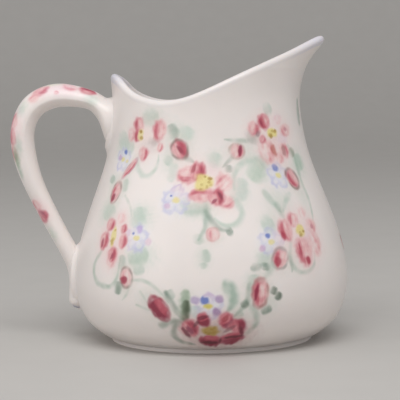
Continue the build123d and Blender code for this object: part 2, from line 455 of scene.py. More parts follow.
# The sprigs.  place is round the side in degrees; heights and sizes are millimetres;
# tilt is a stroke's lean from upright, in degrees; the dense side is 1 or -1.
# place, height, width, length, strength
GREEN_HAZE = [
    (-55, 62, 9, 8, 0.45), (-33, 71, 9, 6, 0.35), (-20, 66, 6, 9, 0.35), (-13, 66, 6, 6, 0.3),
    (-22, 58, 5, 7, 0.25), (-58, 52, 5, 5, 0.35), (-47, 51, 4, 6, 0.3), (3, 58, 6, 7, 0.35),
    (-6, 45, 13, 6, 0.4), (22, 61, 8, 6, 0.3), (28, 56, 11, 8, 0.4), (14, 50, 7, 10, 0.3),
    (57, 57, 8, 9, 0.45), (51, 47, 5, 12, 0.25), (34, 46, 9, 8, 0.35), (27, 40, 7, 6, 0.4),
    (24, 31, 7, 7, 0.4), (17, 24, 6, 6, 0.35), (36, 30, 6, 9, 0.25), (23, 18, 7, 8, 0.25),
    (10, 14, 12, 9, 0.3), (7, 20, 7, 8, 0.14), (-10, 16, 6, 12, 0.35), (-55, 43, 9, 8, 0.5),
    (-33, 42, 9, 8, 0.45), (-31, 31, 12, 8, 0.5), (-40, 28, 5, 9, 0.3), (-38, 22, 6, 6, 0.3),
    (-25, 19, 9, 6, 0.25), (-3, 31, 5, 7, 0.3),
]

# points by place and height, width, colour, strength
VINES = [
    ([(-40, 61), (-41, 57), (-35, 54), (-29, 56), (-28, 60)], 1.7, PALE_SAGE, 0.5),
    ([(-14, 60), (-11, 59), (-8, 58)], 1.6, DARK_LEAF, 0.6),
    ([(-2, 47), (-2, 43), (-2, 40), (-5, 36)], 1.9, MID_SAGE, 0.7),
    ([(-2, 44), (1, 41), (4, 39), (8, 38.5)], 1.6, DEEP_SAGE, 0.7),
    ([(10, 48), (14, 45), (13, 41.5), (7, 39.8), (2, 42)], 1.9, PALE_SAGE, 0.7),
    ([(28, 66), (24, 64), (17, 64), (9, 64.5)], 1.5, MID_SAGE, 0.6),
    ([(14, 60), (10, 58), (7, 56.5)], 1.2, DARK_LEAF, 0.45),
    ([(31, 58.5), (23, 58.5), (16, 57), (12.5, 54), (12, 50)], 1.9, PALE_SAGE, 0.65),
    ([(51, 62), (55, 58), (54, 52), (55, 46), (53, 40)], 1.5, SAGE, 0.6),
    ([(27, 49), (30, 46.5), (34, 43)], 2.0, SAGE, 0.65),
    ([(42, 48), (38, 46), (35, 43)], 1.7, PALE_SAGE, 0.55),
    ([(33, 45), (34, 43), (35, 41)], 2.2, MID_SAGE, 0.5),
    ([(36, 35), (34, 30), (36, 26.5), (41, 25.5), (46, 27), (48, 30.5)], 1.5, SAGE, 0.6),
    ([(32, 32), (34, 29), (34, 26)], 1.4, DEEP_SAGE, 0.5),
    ([(27, 29), (24, 27), (20, 23.5)], 2.2, SAGE, 0.6),
    ([(15, 23), (14, 18.5), (9, 14)], 1.8, DEEP_SAGE, 0.6),
    ([(14, 18), (18, 14), (17, 10), (11, 7)], 1.9, MID_SAGE, 0.65),
    ([(-52, 32), (-56, 27), (-53, 22.5), (-46, 21.5), (-41, 24), (-40, 30)], 1.6, SAGE, 0.65),
    ([(-34, 24), (-27, 24), (-21, 21.5), (-17, 18)], 1.1, SAGE, 0.5),
    ([(-35, 23), (-35, 20.5), (-38, 18)], 1.1, SAGE, 0.4),
    ([(-18, 21), (-15, 17), (-11, 12.5)], 1.8, DARK_LEAF, 0.7),
    ([(-21, 11), (-16, 12.5), (-10, 12.5)], 2.2, DARK_LEAF, 0.65),
    ([(-11, 13), (-16, 10), (-15, 6.5), (-8, 5)], 1.9, DARK_LEAF, 0.65),
    ([(-29, 21), (-26, 18)], 0.9, SAGE, 0.4),
    ([(-31, 17), (-25, 15.5)], 0.9, SAGE, 0.4),
    ([(-45, 48), (-40, 45), (-38, 42)], 0.9, SAGE, 0.35),
    ([(5.6, 23.4), (7.4, 22.2), (8.6, 19.8), (8.0, 17.4), (6.2, 15.6)], 3.2, "#8EAB99", 0.85),
]

# place, height, width, length, colour, strength, tilt
LEAVES = [
    (-35, 71, 4.2, 6.6, SAGE, 0.55, 80), (-56, 64, 5.5, 5.5, "#B4C8BC", 0.6, 40),
    (-50, 62.5, 4.0, 5.0, PALE_SAGE, 0.55, 70), (-20, 67, 2.6, 5.0, DEEP_SAGE, 0.6, -25),
    (-12, 66.5, 3.6, 4.2, "#B4D0C0", 0.5, 30), (-22, 58.5, 2.4, 3.0, SAGE, 0.5, 40),
    (-60, 52.5, 3.0, 2.6, MID_SAGE, 0.6, 20), (-47, 51, 2.2, 4.0, SAGE, 0.5, -10),
    (-12, 46.5, 2.6, 3.0, "#A4C9AC", 0.6, 40), (-6, 45, 3.6, 9.0, SAGE, 0.65, 83),
    (-19, 55, 2.6, 6.0, "#B4C8BC", 0.55, 8), (3, 58.5, 3.2, 5.0, PALE_SAGE, 0.5, 20),
    (25, 55, 5.0, 7.0, "#A4BFA8", 0.6, 45), (31, 58, 3.2, 4.0, SAGE, 0.6, 60),
    (15, 50, 4.0, 7.2, "#B4C8BC", 0.65, 12), (57, 57, 4.6, 5.4, "#9DBBA6", 0.7, -12),
    (53, 60, 2.4, 3.0, "#6F7A62", 0.6, -30), (26, 65, 4.0, 4.0, "#9AA39A", 0.55, 40),
    (73, 72, 2.6, 9.0, DEEP_SAGE, 0.6, 4), (38, 73, 3.0, 3.6, PALE_SAGE, 0.6, 60),
    (10, 56, 1.8, 2.4, DARK_LEAF, 0.6, 0), (26, 39.5, 4.4, 4.6, PALE_SAGE, 0.65, 70),
    (22, 30, 4.4, 4.6, SAGE, 0.55, 20), (22, 28, 2.0, 2.4, DARK_LEAF, 0.75, 10),
    (18, 28, 1.6, 3.8, DARK_LEAF, 0.5, 78), (17, 24, 3.4, 4.2, SAGE, 0.65, 0),
    (25, 21, 1.8, 2.5, DARKEST_LEAF, 0.9, 28), (27, 19.3, 1.8, 2.7, DARKEST_LEAF, 0.95, 30),
    (22, 15.5, 2.2, 3.6, DARK_LEAF, 0.85, 66), (-54, 43, 5.0, 5.6, PALE_SAGE, 0.6, 20),
    (-34, 42, 4.6, 6.6, PALE_SAGE, 0.65, 0), (-31, 31, 4.6, 7.6, "#A4BCA9", 0.7, 68),
    (-39, 29, 2.6, 4.6, "#7F9A88", 0.6, -18), (-30, 27, 2.0, 4.2, SAGE, 0.6, 86),
    (-40, 21.5, 2.2, 4.2, DARK_LEAF, 0.85, 6), (-10.6, 17.4, 2.6, 10.0, "#7E9A7C", 0.85, 5),
    (-10.2, 15.8, 2.0, 6.8, "#39452F", 1.0, 6), (-2, 31.5, 2.0, 4.0, SAGE, 0.65, -12),
    (-3, 28.8, 1.6, 2.0, SAGE, 0.55, 0), (-16, 20.5, 1.8, 3.2, MID_SAGE, 0.5, -28),
    (13, 17.5, 1.8, 2.6, DARKEST_LEAF, 0.7, 60), (8, 38.3, 2.0, 2.2, DARK_LEAF, 0.7, 60),
    (-5, 36.2, 2.4, 3.2, SAGE, 0.5, 20), (-6, 15.5, 3.0, 4.0, "#93BDBE", 0.6, 0),
    (10, 14, 2.4, 4.4, MID_SAGE, 0.6, 50),
]

# place, height, size, where the strong dab lies from the middle, size of the dab
FORGET_ME_NOTS = [
    (-54, 58.5, 7.0, (0.9, 2.2), 1.5), (-16, 47.2, 8.2, (-1.6, 1.2), 0.7),
    (38, 53.6, 7.6, (-0.6, 2.2), 2.2), (26, 34.8, 7.6, (-0.8, 1.8), 1.5),
    (-33, 36.2, 7.6, (-1.4, 1.2), 0.8), (-1, 17.0, 7.6, (-1.2, 1.8), 2.4),
]

# place, height, width, length, colour, strength
BLUE_TOUCHES = [
    (-57, 59, 2.4, 1.8, "#C0A0CC", 0.65), (-50, 58, 1.4, 1.2, "#E8D79A", 0.7),
    (-20, 45.5, 2.0, 1.8, "#D3A9CC", 0.5), (21.5, 33.2, 2.2, 2.0, "#CFA3C6", 0.6),
    (-27, 35.3, 2.4, 2.4, "#E3C6D8", 0.6), (3, 19.2, 2.8, 2.4, "#A98BB6", 0.7),
    (2, 15.4, 2.8, 2.8, "#8F6BA2", 0.75), (-6.3, 19, 3.0, 2.4, "#B7A3CB", 0.7),
    (-1.5, 17.2, 3.0, 1.4, "#D9C865", 0.8), (47, 64.3, 5.0, 3.2, "#DCCBE4", 0.45),
    (45, 70, 3.6, 3.2, "#E2D2E4", 0.5), (-38, 37.7, 2.2, 2.6, "#D9BFD8", 0.5),
    (-32.1, 38.7, 2.2, 2.4, "#BBA6DA", 0.7),
]

# place, height, width, length, tone, tilt, colour of the sepals, dense side
BUDS = [
    (-16, 61.7, 4.9, 6.0, 0.70, -33, SEPAL_BROWN, 1), (-53, 48.8, 4.4, 6.2, 0.44, 12, "#8C6A62", -1),
    (1, 37.5, 3.7, 3.8, 0.32, 0, "#D59A98", -1), (15.5, 61, 4.7, 4.4, 0.42, 10, "#B9A79C", 1),
    (47.5, 52.4, 4.6, 6.2, 0.62, -28, SEPAL_BROWN, -1), (29, 30, 5.0, 6.2, 0.52, 22, "#8D8A86", -1),
    (19.3, 20.5, 5.0, 8.4, 0.60, 4, "#9C6460", -1), (-36, 24.7, 4.4, 5.8, 0.35, -10, SEPAL_BROWN, -1),
    (-21, 16.2, 5.0, 7.8, 1.30, -38, "#8A2F3F", -1), (-46.5, 56, 2.2, 7.6, 0.52, 42, "#B592A0", 1),
]

# place, height, width, length, colour, strength
ROSE_WASHES = [
    (-37, 65.8, 11, 10, "#F1D9D2", 0.5), (-34, 62.6, 7, 4, "#CBBFC0", 0.35),
    (-31, 64, 4, 2.4, "#9C908C", 0.5), (-1, 52, 17, 14, "#F2D6D2", 0.45), (1, 56, 5, 4, "#F0D6DA", 0.5),
    (40, 65, 18, 14, "#F1D5D4", 0.45), (40, 60.5, 8, 8, "#EBC4C2", 0.5),
    (26, 65.2, 5, 4, "#A9A8A0", 0.4), (42, 36, 18, 16, "#F1D3D2", 0.45),
    (47, 35.5, 6, 6, "#DFC3CC", 0.5), (-46, 35.5, 15, 16, "#F3D4D2", 0.5),
    # the pink-brown and grey-brown washes 8 to 11 mm up, over the low rose, are painted shade of the jug's
    # lowest part
    (2, 9.0, 20, 11, "#C89A98", 0.5), (-44, 41.5, 4, 4, "#F2D2D2", 0.5),
    (-8.5, 10.5, 6, 6, "#B59A9A", 0.45), (3, 8.4, 18, 8, "#94807A", 0.45),
]

# place, height, width, length, tone, tilt, dense side
ROSE_PETALS = [
    # upper rose by the handle
    (-48.5, 66, 3.8, 4.2, 0.34, 10, 1), (-43.2, 68.8, 4.2, 4.8, 0.58, -4, -1),
    (-43.2, 65.6, 3.4, 4.0, 0.66, 16, -1), (-28.5, 67.2, 4.6, 6.4, 0.54, 5, -1),
    (-38, 60.3, 3.7, 4.2, 0.5, 0, 1), (-27.5, 62.2, 2.0, 2.8, 0.4, 20, 1),
    # middle rose
    (-12, 54.3, 5.0, 5.4, 0.5, 90, 1), (-6, 55.2, 4.6, 5.8, 0.76, 12, 1),
    (-4.6, 48.6, 4.3, 7.0, 0.56, 86, -1), (8, 46.4, 3.7, 4.0, 0.42, 60, 1),
    (7, 52, 5.2, 5.4, 0.34, 40, -1), (3.2, 47.9, 5.0, 5.0, 0.78, -20, 1),
    # upper rose under the spout
    (45.5, 69.8, 3.4, 3.0, 0.10, 0, 1), (51, 66.6, 5.0, 3.8, 0.34, -10, -1),
    (27, 67.4, 4.4, 4.4, 0.5, 24, 1), (34.5, 69.4, 4.4, 4.8, 0.74, -22, -1),
    (32, 64.2, 2.8, 2.6, 0.66, 40, 1), (34, 60.4, 6.4, 6.8, 0.3, 0, 1),
    (47, 60.6, 4.2, 4.6, 0.42, -18, 1), (42, 58.6, 3.4, 3.4, 0.3, 0, 1),
    # middle rose below the spout
    (46.5, 42.3, 3.4, 3.2, 0.14, 0, 1), (50, 38.2, 4.8, 4.6, 0.32, 0, 1),
    (49.4, 33, 6.0, 6.8, 0.26, -6, 1), (39.5, 40.6, 4.4, 4.4, 0.46, 16, -1),
    (34.2, 37.8, 5.0, 6.4, 0.56, -12, -1), (42, 31.2, 6.6, 8.6, 0.5, -8, -1),
    # middle rose by the handle
    (-43.5, 41.4, 3.4, 3.2, 0.14, 0, 1), (-50, 39.4, 4.2, 3.8, 0.56, 16, 1),
    (-52, 34.6, 4.6, 5.4, 0.58, 0, 1), (-41, 38.5, 2.6, 3.0, 0.6, 0, 1),
    (-40, 34.9, 3.4, 4.3, 0.58, 0, 1), (-45, 30.2, 5.0, 6.4, 0.3, 0, 1),
    (-45, 30.9, 3.8, 4.4, 0.66, 0, 1),
    # low rose at the bottom: its own crimson, painted deeper as the shade that falls low on the jug
    (-9, 10.3, 5.6, 5.6, 0.8, -30, 1), (-3.4, 13, 4.6, 3.8, 1.25, 70, 1),
    (6, 12.7, 5.6, 4.6, 1.0, 50, 1), (11, 10.6, 4.8, 5.2, 1.05, -20, 1),
    (8, 6.9, 4.0, 7.4, 1.35, 82, 1), (-1, 6.4, 4.0, 6.4, 1.35, 96, 1),
]

# place, height, width, length, colour, strength, tilt
DARK_TOUCHES = [
    (-54, 47.2, 1.7, 2.8, ROSE_DARK, 0.75, 14), (-15.6, 61.6, 1.2, 3.6, ROSE_DARK, 0.7, -40),
    (17.3, 61.2, 1.3, 3.4, "#8A1F3D", 0.85, 14), (27.8, 29.2, 2.4, 3.0, "#A93348", 0.7, 20),
    (17.8, 20.8, 1.2, 4.6, "#8A1F3D", 0.8, 14), (-37, 24, 2.5, 2.4, "#9B2C42", 0.8, -10),
    (-8, 56.2, 1.3, 2.8, "#96303F", 0.5, 20), (5, 48.4, 1.0, 2.8, "#84203A", 0.75, -30),
    (2, 46.8, 1.0, 2.2, "#84203A", 0.6, 50), (38.5, 61, 1.9, 4.2, "#BE6C62", 0.7, -14),
    (46.5, 60.8, 2.0, 3.2, "#A4696A", 0.6, 0), (43.4, 28.8, 1.8, 2.8, "#A6283F", 0.75, -20),
    (40, 32, 0.9, 4.0, "#B34A5C", 0.6, -6), (32.4, 36.4, 1.6, 2.6, "#A6283F", 0.6, -12),
    (-53, 34, 1.3, 2.8, ROSE_DARK, 0.6, 0), (-45, 30.4, 1.1, 2.4, ROSE_DARK, 0.6, 20),
    (-46.3, 34.4, 1.2, 2.4, "#D9A05A", 0.6, 0), (51, 67, 1.6, 1.4, "#C47A86", 0.6, 0),
    # the near-black crimsons and browns 5 to 14 mm up deepen the low rose: partly its own dark strokes,
    # partly painted shade low on the jug
    (50.4, 38.2, 1.5, 1.6, "#C47A86", 0.65, 0), (-9, 9.8, 1.8, 3.2, "#7E3450", 0.6, -30),
    (3.6, 6.3, 0.7, 2.0, "#5A1A28", 0.6, 10), (29.5, 65.9, 1.6, 2.0, "#8D6C72", 0.5, 30),
    (-10.8, 9.0, 1.5, 4.2, "#5A2030", 0.6, -30), (-6.4, 11.8, 1.0, 3.0, "#5B3A40", 0.45, 40),
    (7.4, 10.2, 1.2, 4.4, "#6A3A42", 0.35, 60), (12.2, 9.4, 1.3, 4.0, "#6A1F30", 0.7, -20),
    (9, 7.5, 1.0, 6.2, "#521724", 0.65, 84), (-1, 5.7, 1.1, 5.4, "#521724", 0.65, 92),
    (5.4, 13.4, 1.6, 2.8, "#A5343F", 0.6, 40), (-3.6, 13.8, 1.3, 3.4, "#641A30", 0.6, 74),
]

# place, height, width, length, how many dots, yellow
ROSE_EYES = [
    (-41.4, 66, 2.4, 3.6, 4, "#EADDA6"), (-3, 52.3, 6.0, 5.0, 9, "#E6D78A"),
    (39.5, 66, 4.4, 2.9, 6, "#EADB8C"), (42.3, 37.4, 3.6, 3.6, 5, "#E8D68C"),
    # the low rose's eye, 9.7 mm up, is a dull ochre: its yellow with painted shade
    (-46.3, 36.2, 2.4, 5.4, 4, "#EADC9A"), (-0.6, 9.7, 5.2, 3.2, 9, "#B5964C"),
]


def paint_wreath(face):
    """The sprigs of one side, in the order a painter lays them: green first, then
    the blue flowers, the buds, and the roses with their yellow eyes last."""
    for place, height, wide, tall, strength in GREEN_HAZE:
        face.wash(place, height, wide, tall, GREEN_MIST, strength)
    for path, width, colour, strength in VINES:
        face.vine(path, width, colour, strength)
    for place, height, wide, tall, colour, strength, tilt in LEAVES:
        face.leaf(place, height, wide, tall, colour, strength, tilt)
    for place, height, size, dab_at, dab_size in FORGET_ME_NOTS:
        face.forget_me_not(place, height, size, dab_at, dab_size)
    for place, height, wide, tall, colour, strength in BLUE_TOUCHES:
        face.dab(place, height, wide, tall, colour, strength)
    for place, height, wide, tall, tone, tilt, sepals, side in BUDS:
        face.bud(place, height, wide, tall, tone, tilt, sepals, side)
    for place, height, wide, tall, colour, strength in ROSE_WASHES:
        face.wash(place, height, wide, tall, colour, strength)
    for place, height, wide, tall, tone, tilt, side in ROSE_PETALS:
        face.petal(place, height, wide, tall, tone, tilt, side)
    for place, height, wide, tall, colour, strength, tilt in DARK_TOUCHES:
        face.dab(place, height, wide, tall, colour, strength, tilt)
    for place, height, wide, tall, dots, yellow in ROSE_EYES:
        face.stamens(place, height, wide, tall, dots, yellow)


def paint_front_sprig(face):
    """A small sprig low under the spout."""
    face.vine([(84, 30), (88, 26.4), (90, 21), (93, 16)], 1.0, SAGE, 0.5)
    face.vine([(90, 22), (94.6, 24.6), (98, 28.6)], 0.9, SAGE, 0.5)
    face.leaf(84.6, 24.6, 3.0, 5.2, SAGE, 0.55, -40)
    face.leaf(95.4, 19.6, 2.8, 5.0, PALE_SAGE, 0.7, 50)
    face.leaf(88.4, 16.6, 1.8, 3.6, DARK_LEAF, 0.6, -30)
    face.bud(83.6, 31.6, 3.6, 4.8, 0.75, -16)
    face.bud(98.8, 30.0, 3.2, 4.2, 0.5, 24, "#8C6A62")
    face.forget_me_not(91, 28.4, 5.4, (0.5, 1.7), 1.5)


# ---------------------------------------------------------------------------
# Materials
# ---------------------------------------------------------------------------
GLAZE_CLOUD = 14.0       # millimetres across the soft clouds in a dipped glaze
GLAZE_WAVE = 9.0         # between its slow waves, a few hundredths of a millimetre deep
BODY_GRAIN = 0.6         # the clay's grain, drawn coarser than it is so that it shows
BOARD_CLOUD = 1000 / 60  # across the clouds in the table's paint
PAINT_DRYNESS = 0.10     # how much rougher full paint is than the glaze
BISCUIT_ROUGHNESS = 0.85


def add_node(material, kind, feeds=None, **settings):
    """Adds a node with its settings; feeds gives sockets a value, or a link from another node."""
    node = material.node_tree.nodes.new(kind)
    for name, value in settings.items():
        if hasattr(node, name):
            setattr(node, name, value)
        else:
            node.inputs[name.replace("_", " ")].default_value = value
    for socket, source in (feeds or {}).items():
        if isinstance(source, bpy.types.NodeSocket):
            material.node_tree.links.new(source, node.inputs[socket])
        else:
            node.inputs[socket].default_value = source
    return node


def new_material(name):
    material = bpy.data.materials.new(name)
    material.use_nodes = True
    material.node_tree.nodes.clear()
    return material


def glazed_porcelain(name, painted, gloss=0.36, bare_foot=False):
    """Cast porcelain, dipped in clear glaze and fired: dense, slightly translucent and
    satin-bright, with the faint unevenness that a dipped glaze dries to.  Where it is
    painted, the colour stands a hair proud and is a little less glossy."""
    glaze = new_material(name)
    spot = add_node(glaze, "ShaderNodeTexCoord").outputs["Object"]
    clouds = add_node(glaze, "ShaderNodeTexNoise", {"Vector": spot},
                      Scale=1 / (GLAZE_CLOUD * MM), Detail=3.0, Roughness=0.5).outputs["Fac"]
    body_grain = add_node(glaze, "ShaderNodeTexNoise", {"Vector": spot},
                          Scale=1 / (BODY_GRAIN * MM), Detail=2.0, Roughness=0.6).outputs["Fac"]
    shade = add_node(glaze, "ShaderNodeMapRange", {"Value": clouds},
                     From_Min=0.3, From_Max=0.7, To_Min=0.965, To_Max=1.0).outputs["Result"]
    roughness = add_node(glaze, "ShaderNodeMapRange", {"Value": clouds}, From_Min=0.3, From_Max=0.7,
                         To_Min=gloss - 0.04, To_Max=gloss + 0.05).outputs["Result"]
    ground = (*linear(GLAZE_WHITE), 1.0)
    if painted:
        ground = add_node(glaze, "ShaderNodeAttribute", attribute_name="painting").outputs["Color"]
        load = add_node(glaze, "ShaderNodeAttribute", attribute_name="paint_load").outputs["Fac"]
        # ground pigment settles in grains, which shows only where there is paint
        settle = add_node(glaze, "ShaderNodeMapRange", {"Value": body_grain},
                          From_Min=0.3, From_Max=0.7, To_Min=-0.06, To_Max=0.04).outputs["Result"]
        settled = add_node(glaze, "ShaderNodeMath", {0: settle, 1: load}, operation="MULTIPLY")
        shade = add_node(glaze, "ShaderNodeMath", {0: settled.outputs["Value"], 1: shade},
                         operation="ADD").outputs["Value"]
        drier = add_node(glaze, "ShaderNodeMath", {0: load, 1: PAINT_DRYNESS}, operation="MULTIPLY")
        roughness = add_node(glaze, "ShaderNodeMath", {0: drier.outputs["Value"], 1: roughness},
                             operation="ADD").outputs["Value"]
    base = add_node(glaze, "ShaderNodeMix", {0: 1.0, 6: ground, 7: shade},
                    data_type="RGBA", blend_type="MULTIPLY").outputs[2]
    if bare_foot:
        # the foot is wiped clean of glaze where it stands, so its last half
        # millimetre is bare biscuit: matt, a little buff, and specked with grey
        height = add_node(glaze, "ShaderNodeSeparateXYZ", {"Vector": spot}).outputs["Z"]
        bare = add_node(glaze, "ShaderNodeMapRange", {"Value": height},
                        From_Min=0.9 * MM, From_Max=0.5 * MM, To_Min=0.0, To_Max=1.0).outputs["Result"]
        specks = add_node(glaze, "ShaderNodeMapRange", {"Value": body_grain},
                          From_Min=0.35, From_Max=0.65, To_Min=0.78, To_Max=1.0).outputs["Result"]
        biscuit = add_node(glaze, "ShaderNodeMix", {0: 1.0, 6: (*linear(BARE_BISCUIT), 1.0), 7: specks},
                           data_type="RGBA", blend_type="MULTIPLY").outputs[2]
        base = add_node(glaze, "ShaderNodeMix", {0: bare, 6: base, 7: biscuit}, data_type="RGBA").outputs[2]
        roughness = add_node(glaze, "ShaderNodeMix", {0: bare, 2: roughness, 3: BISCUIT_ROUGHNESS},
                             data_type="FLOAT").outputs[0]
    # slow waves, then fine pits, then the thickness of the paint
    waves = add_node(glaze, "ShaderNodeTexNoise", {"Vector": spot},
                     Scale=1 / (GLAZE_WAVE * MM), Detail=1.5, Roughness=0.4).outputs["Fac"]
    normal = add_node(glaze, "ShaderNodeBump", {"Height": waves},
                      Strength=0.35, Distance=0.10 * MM).outputs["Normal"]
    normal = add_node(glaze, "ShaderNodeBump", {"Height": body_grain, "Normal": normal},
                      Strength=0.25, Distance=0.008 * MM).outputs["Normal"]
    if painted:
        normal = add_node(glaze, "ShaderNodeBump", {"Height": load, "Normal": normal},
                          Strength=0.5, Distance=0.05 * MM).outputs["Normal"]
    shader = add_node(glaze, "ShaderNodeBsdfPrincipled",
                      {"Base Color": base, "Roughness": roughness, "Normal": normal,
                       "Subsurface Radius": (1.0, 0.8, 0.6)},
                      IOR=1.52, Metallic=0.0, Coat_Weight=0.22, Coat_Roughness=0.28, Coat_IOR=1.5,
                      Subsurface_Weight=0.12, Subsurface_Scale=1.2 * MM)
    add_node(glaze, "ShaderNodeOutputMaterial", {"Surface": shader.outputs["BSDF"]})
    return glaze


def pale_board():
    """Pale board, matt painted: an even tone with the faintest unevenness."""
    board = new_material("pale_matt_table")
    spot = add_node(board, "ShaderNodeTexCoord").outputs["Object"]
    uneven = add_node(board, "ShaderNodeTexNoise", {"Vector": spot},
                      Scale=1 / (BOARD_CLOUD * MM), Detail=3.0).outputs["Fac"]
    pale, shaded = (*linear(TABLE_PALE), 1.0), (*linear(TABLE_SHADE), 1.0)
    tone = add_node(board, "ShaderNodeMix", {0: uneven, 6: pale, 7: shaded}, data_type="RGBA").outputs[2]
    shader = add_node(board, "ShaderNodeBsdfPrincipled", {"Base Color": tone}, Roughness=0.6, IOR=1.45)
    add_node(board, "ShaderNodeOutputMaterial", {"Surface": shader.outputs["BSDF"]})
    return board


def give_paint(piece, colour, load):
    """Stores the painting on the mesh: its colour, and how thick the paint lies."""
    rgba = np.ones((len(colour), 4), np.float32)
    rgba[:, :3] = linear(colour)
    layer = piece.data.color_attributes.new(name="painting", type="FLOAT_COLOR", domain="POINT")
    layer.data.foreach_set("color", rgba.ravel())
    depth = piece.data.attributes.new(name="paint_load", type="FLOAT", domain="POINT")
    depth.data.foreach_set("value", np.asarray(load, np.float32))


# ---------------------------------------------------------------------------
# The cast wall
# ---------------------------------------------------------------------------
def outside_levels(top):
    """Heights of the outside's rows, from the foot to where the rim begins.  They
    climb evenly along the wall, so that none is stretched under the belly."""
    drawn = np.linspace(FOOT_HEIGHT, 90.0, 600)
    walk = np.concatenate([[0], np.cumsum(np.hypot(np.diff(drawn), np.diff(at_sides(drawn))))])
    climbed = np.interp(np.linspace(0, walk[-1], WALL_ROWS), walk, drawn) - FOOT_HEIGHT
    share = climbed / climbed[-1]
    return FOOT_HEIGHT + share[:, None] * (top - FOOT_HEIGHT)[None]


def rim_rows(angle, top):
    """Rows that round the wall's outside over into its inside."""
    out, up = wall_normal(angle, top)
    half = wall_thickness(top)[:, None] / 2
    middle = wall_point(angle, top) - out * half
    over = math.pi * np.arange(1, RIM_ROWS)[:, None, None] / RIM_ROWS
    return middle + out * half * np.cos(over) + up * RIM_ROUND * np.sin(over)


def inside_rows(angle, top):
    """Rows down the inside, one wall's thickness behind the outside."""
    down = 1 - np.linspace(0, 1, INSIDE_ROWS) ** 0.9
    level = INSIDE_START + down[:, None] * (top - INSIDE_START)[None]
    turn = np.broadcast_to(angle, level.shape)
    return wall_point(turn, level) - wall_normal(turn, level)[0] * wall_thickness(level)[..., None]


def closing_rows(ring, height, shares):
    """Level rows that close a ring: the same outline, shrunk to each share."""
    level = np.full((len(ring), 1), height)
    return np.array([np.concatenate([ring[:, :2] * share, level], 1) for share in shares])


def paint_wall(colour, load, angle, level):
    """Paints both sides of the outside.  The far side is the near one's mirror, put
    a little off it, in other brush grain."""
    degrees = np.degrees(np.broadcast_to(angle, level.shape)).ravel()
    near_side = PaintedFace(degrees - 270, level.ravel(), at_sides, colour, load, 10)
    paint_wreath(near_side)
    paint_front_sprig(near_side)
    far_side = PaintedFace(90 - degrees, level.ravel(), at_sides, colour, load, 4000, (1.5, -0.6))
    paint_wreath(far_side)


def line_rim(colour, angle, top):
    """A faint lavender line drawn round the rim.  It grows heavier from 30 degrees off
    the handle, over the horn, and from 87 mm up, toward the lip."""
    horn = 0.75 * np.clip((-np.cos(angle) - 0.86) / 0.12, 0, 1)
    lip = 0.6 * np.clip((top - 87) / 5, 0, 1) ** 1.5
    cover = 0.06 + 0.55 * np.tile(np.maximum(lip, horn), len(colour) // ROUND_STEPS)[:, None]
    colour[:] = colour * (1 - cover) + srgb(RIM_LAVENDER) * cover


def make_wall():
    angle = np.arange(ROUND_STEPS) * 2 * math.pi / ROUND_STEPS
    top = wall_top(angle)
    level = outside_levels(top)
    outside = wall_point(np.broadcast_to(angle, level.shape), level)
    rim = rim_rows(angle, top)
    inside = inside_rows(angle, top)
    under = closing_rows(outside[0], FOOT_HEIGHT, [0.002, 0.4, 0.8, 0.86])
    floor = closing_rows(inside[-1], INSIDE_FLOOR, [0.93, 0.8, 0.6, 0.4, 0.2, 0.002])
    rows = np.concatenate([under, outside, rim, inside, floor])
    # the painted outside gets three times the room of the inside in the flat layout
    steps = np.linalg.norm(np.diff(rows[:, ROUND_STEPS // 4], axis=0), axis=1)
    room = np.ones(len(steps))
    room[: len(under)] = 0.33
    room[len(under) + len(outside) + len(rim) :] = 0.33
    lengths = np.concatenate([[0], np.cumsum(steps * room)])
    piece = add_mesh("painted_wall", rows.reshape(-1, 3), tube_faces(len(rows), ROUND_STEPS),
                     tube_uv(len(rows), ROUND_STEPS, lengths))

    colour = np.tile(srgb(GLAZE_WHITE), (len(rows) * ROUND_STEPS, 1))
    load = np.zeros(len(colour))
    first = len(under) * ROUND_STEPS
    last = first + WALL_ROWS * ROUND_STEPS
    paint_wall(colour[first:last], load[first:last], angle, level)
    # the line takes in three rows of the outside, the rim, and one row of the inside
    line_rim(colour[last - 3 * ROUND_STEPS : last + RIM_ROWS * ROUND_STEPS], angle, top)
    give_paint(piece, colour, load)
    piece.data.materials.append(glazed_porcelain("painted_glazed_porcelain", True))
    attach(piece, "root")
    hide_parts("body")


# ---------------------------------------------------------------------------
# The foot ring
# ---------------------------------------------------------------------------
def make_foot_ring():
    steps = np.arange(len(FOOT_PROFILE))
    fine = np.linspace(0, len(FOOT_PROFILE) - 1, 53)
    radius = smooth_line(steps, [point[0] for point in FOOT_PROFILE])(fine)
    height = np.maximum(smooth_line(steps, [point[1] for point in FOOT_PROFILE])(fine), 0.0)
    angle = np.arange(FOOT_STEPS) * 2 * math.pi / FOOT_STEPS
    across, ahead = radius[:, None] * np.sin(angle), radius[:, None] * np.cos(angle)
    rows = np.stack([ahead, across, height[:, None] + 0 * angle], -1)
    lengths = np.concatenate([[0], np.cumsum(np.hypot(np.diff(radius), np.diff(height)))])
    piece = add_mesh("turned_foot_ring", rows.reshape(-1, 3), tube_faces(len(rows), FOOT_STEPS),
                     tube_uv(len(rows), FOOT_STEPS, lengths))
    piece.data.materials.append(glazed_porcelain("foot_porcelain_wiped_bare", False, 0.32, True))
    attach(piece, "root")
    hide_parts("foot_ring")


# ---------------------------------------------------------------------------
# The handle
# ---------------------------------------------------------------------------
stations = np.arange(len(HANDLE_LINE), dtype=float)
strap = [smooth_line(stations, [row[k] for row in HANDLE_LINE]) for k in range(5)]

